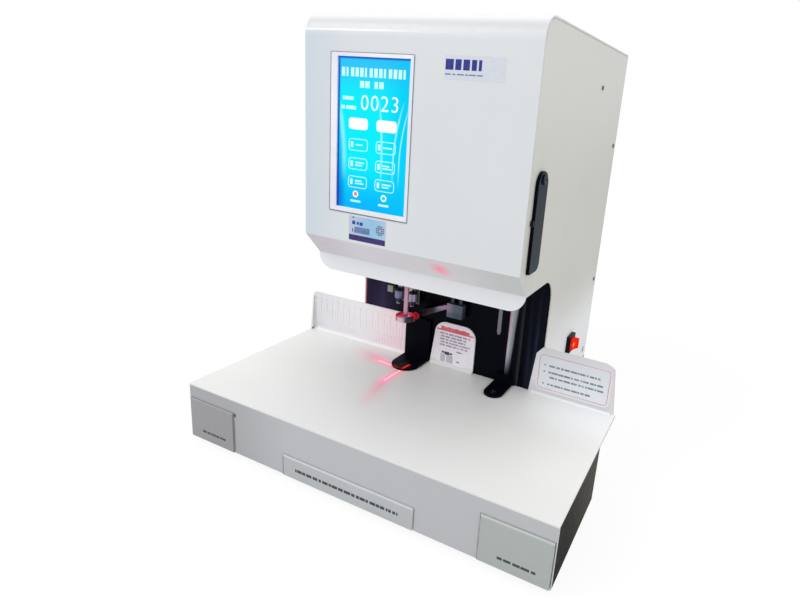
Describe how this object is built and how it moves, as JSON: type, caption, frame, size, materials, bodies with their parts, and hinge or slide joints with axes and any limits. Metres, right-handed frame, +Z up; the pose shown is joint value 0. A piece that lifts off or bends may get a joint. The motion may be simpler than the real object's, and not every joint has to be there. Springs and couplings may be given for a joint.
{
  "type": "document riveting machine",
  "caption": "Desk machine that drills a hole through a paper stack and closes it with a heated plastic tube rivet, with a touch screen, paper fences and drawers.",
  "frame": {"origin": "centre of the overall box's underside, level with the soles of the rubber feet", "axes": "+X to the operator's right, +Y towards the back, +Z up; the screen and the drawers face -Y"},
  "size_m": [0.45, 0.446, 0.493],
  "materials": {
    "light_paint": "satin powder coat",
    "white_paint": "satin powder coat",
    "warm_paint": "satin powder coat",
    "dark_paint": "satin powder coat",
    "black_paint": "gloss",
    "motor_paint": "satin",
    "black_gloss": "high gloss",
    "black_plastic": "moulded",
    "pale_plastic": "moulded",
    "bezel_plastic": "moulded gloss",
    "smoked_plastic": "smoked, clear",
    "rocker_red": "lit lens",
    "screen": "touch glass over a lit display",
    "board": "solder mask",
    "pad_white": "cut-resistant nylon",
    "foot_rubber": "matte",
    "belt_rubber": "matte",
    "steel": "machined",
    "zinc": "zinc plated",
    "bright_steel": "ground and hard chromed",
    "machined_aluminium": "machined",
    "blue_anodised": "anodised",
    "die_brass": "heat stained"
  },
  "bodies": {
    "machine": {"table_plate": "white_paint", "base_left_wall": "dark_paint", "base_right_wall": "dark_paint", "base_floor": "dark_paint", "rubber_feet": "foot_rubber", "drawer_rails": "zinc", "left_side_panel": "warm_paint", "right_side_panel": "warm_paint", "front_cover": "light_paint", "top_cover": "light_paint", "rear_cover": "warm_paint", "throat_plate": "black_gloss", "head_floor": "black_paint", "drill_tongue": "black_paint", "cutting_pad": "pad_white", "rivet_tongue": "black_paint", "lower_die": "die_brass", "lower_heater": "machined_aluminium", "left_frame_plate": "steel", "right_frame_plate": "steel", "bed_beam": "steel", "head_plate": "machined_aluminium", "shaft_blocks": "machined_aluminium", "drill_guide_shafts": "bright_steel", "feed_motor": "motor_paint", "laser_modules": "blue_anodised", "laser_bracket": "zinc", "rivet_column": "bright_steel", "rivet_motor": "motor_paint", "cover_pivot_screw": "bright_steel", "tube_holder": "pale_plastic", "switch_housing": "black_plastic", "panel_screws": "zinc", "mains_inlet": "black_plastic", "power_supply": "machined_aluminium", "screen_bezel": "bezel_plastic", "display_module": "screen", "control_board": "board", "fan_housing": "black_plastic"},
    "drill_head": {"drill_carriage": "machined_aluminium", "spindle_bearings": "bright_steel", "drill_motor": "motor_paint", "drill_belt": "belt_rubber"},
    "spindle": {"drill_spindle": "steel", "hollow_drill": "steel", "spindle_pulley": "machined_aluminium"},
    "motor_shaft": {"motor_pulley": "machined_aluminium"},
    "drill_feed_screw": {"feed_screw": "steel"},
    "foot": {"press_foot": "blue_anodised", "press_foot_rods": "bright_steel"},
    "rivet_head": {"rivet_carriage": "machined_aluminium", "upper_heater": "machined_aluminium", "rivet_pin": "die_brass"},
    "rivet_feed_screw": {"rivet_screw": "steel"},
    "scrap_drawer": {"scrap_drawer": "light_paint"},
    "left_drawer": {"left_drawer": "light_paint"},
    "right_drawer": {"right_drawer": "light_paint"},
    "rocker": {"power_rocker": "rocker_red"},
    "swing_cover": {"loading_cover": "smoked_plastic"},
    "fan_wheel": {"fan_rotor": "black_plastic"}
  },
  "joints": [
    {"name": "drill_feed", "type": "slide", "parent": "machine", "child": "drill_head", "axis": [0, 0, -1], "range_m": [0, 0.062]},
    {"name": "drill_spin", "type": "hinge", "parent": "drill_head", "child": "spindle", "pos_m": [-0.046, -0.0415, 0.3], "axis": [0, 0, 1], "continuous": true},
    {"name": "motor_spin", "type": "hinge", "parent": "drill_head", "child": "motor_shaft", "pos_m": [-0.102, -0.0415, 0.4], "axis": [0, 0, 1], "continuous": true},
    {"name": "drill_feed_screw_turn", "type": "hinge", "parent": "machine", "child": "drill_feed_screw", "pos_m": [-0.046, -0.0055, 0.3], "axis": [0, 0, 1], "range_deg": [0, 2795]},
    {"name": "press_foot_slide", "type": "slide", "parent": "drill_head", "child": "foot", "axis": [0, 0, 1], "range_m": [0, 0.045], "stiffness_N_per_m": 300, "springref_m": -0.03},
    {"name": "rivet_press", "type": "slide", "parent": "machine", "child": "rivet_head", "axis": [0, 0, -1], "range_m": [0, 0.074]},
    {"name": "rivet_screw_turn", "type": "hinge", "parent": "machine", "child": "rivet_feed_screw", "pos_m": [0.062, -0.0055, 0.3], "axis": [0, 0, 1], "range_deg": [0, 3335]},
    {"name": "scrap_drawer_slide", "type": "slide", "parent": "machine", "child": "scrap_drawer", "axis": [0, -1, 0], "range_m": [0, 0.18]},
    {"name": "left_drawer_slide", "type": "slide", "parent": "machine", "child": "left_drawer", "axis": [0, -1, 0], "range_m": [0, 0.115]},
    {"name": "right_drawer_slide", "type": "slide", "parent": "machine", "child": "right_drawer", "axis": [0, -1, 0], "range_m": [0, 0.115]},
    {"name": "power_rocker_tilt", "type": "hinge", "parent": "machine", "child": "rocker", "pos_m": [0.1305, 0.106, 0.1045], "axis": [0, 0, 1], "range_deg": [0, 12]},
    {"name": "loading_cover_swing", "type": "hinge", "parent": "machine", "child": "swing_cover", "pos_m": [0.133, -0.09575, 0.34735], "axis": [1, 0, 0], "range_deg": [-100, 100]},
    {"name": "fan_spin", "type": "hinge", "parent": "machine", "child": "fan_wheel", "pos_m": [0.062, 0.2065, 0.4], "axis": [0, 1, 0], "continuous": true}
  ],
  "couplings": [
    {"joint": "motor_spin", "follows": "drill_spin", "ratio": 1.7},
    {"joint": "drill_feed_screw_turn", "follows": "drill_feed", "rad_per_m": 785.4},
    {"joint": "rivet_screw_turn", "follows": "rivet_press", "rad_per_m": 785.4}
  ]
}
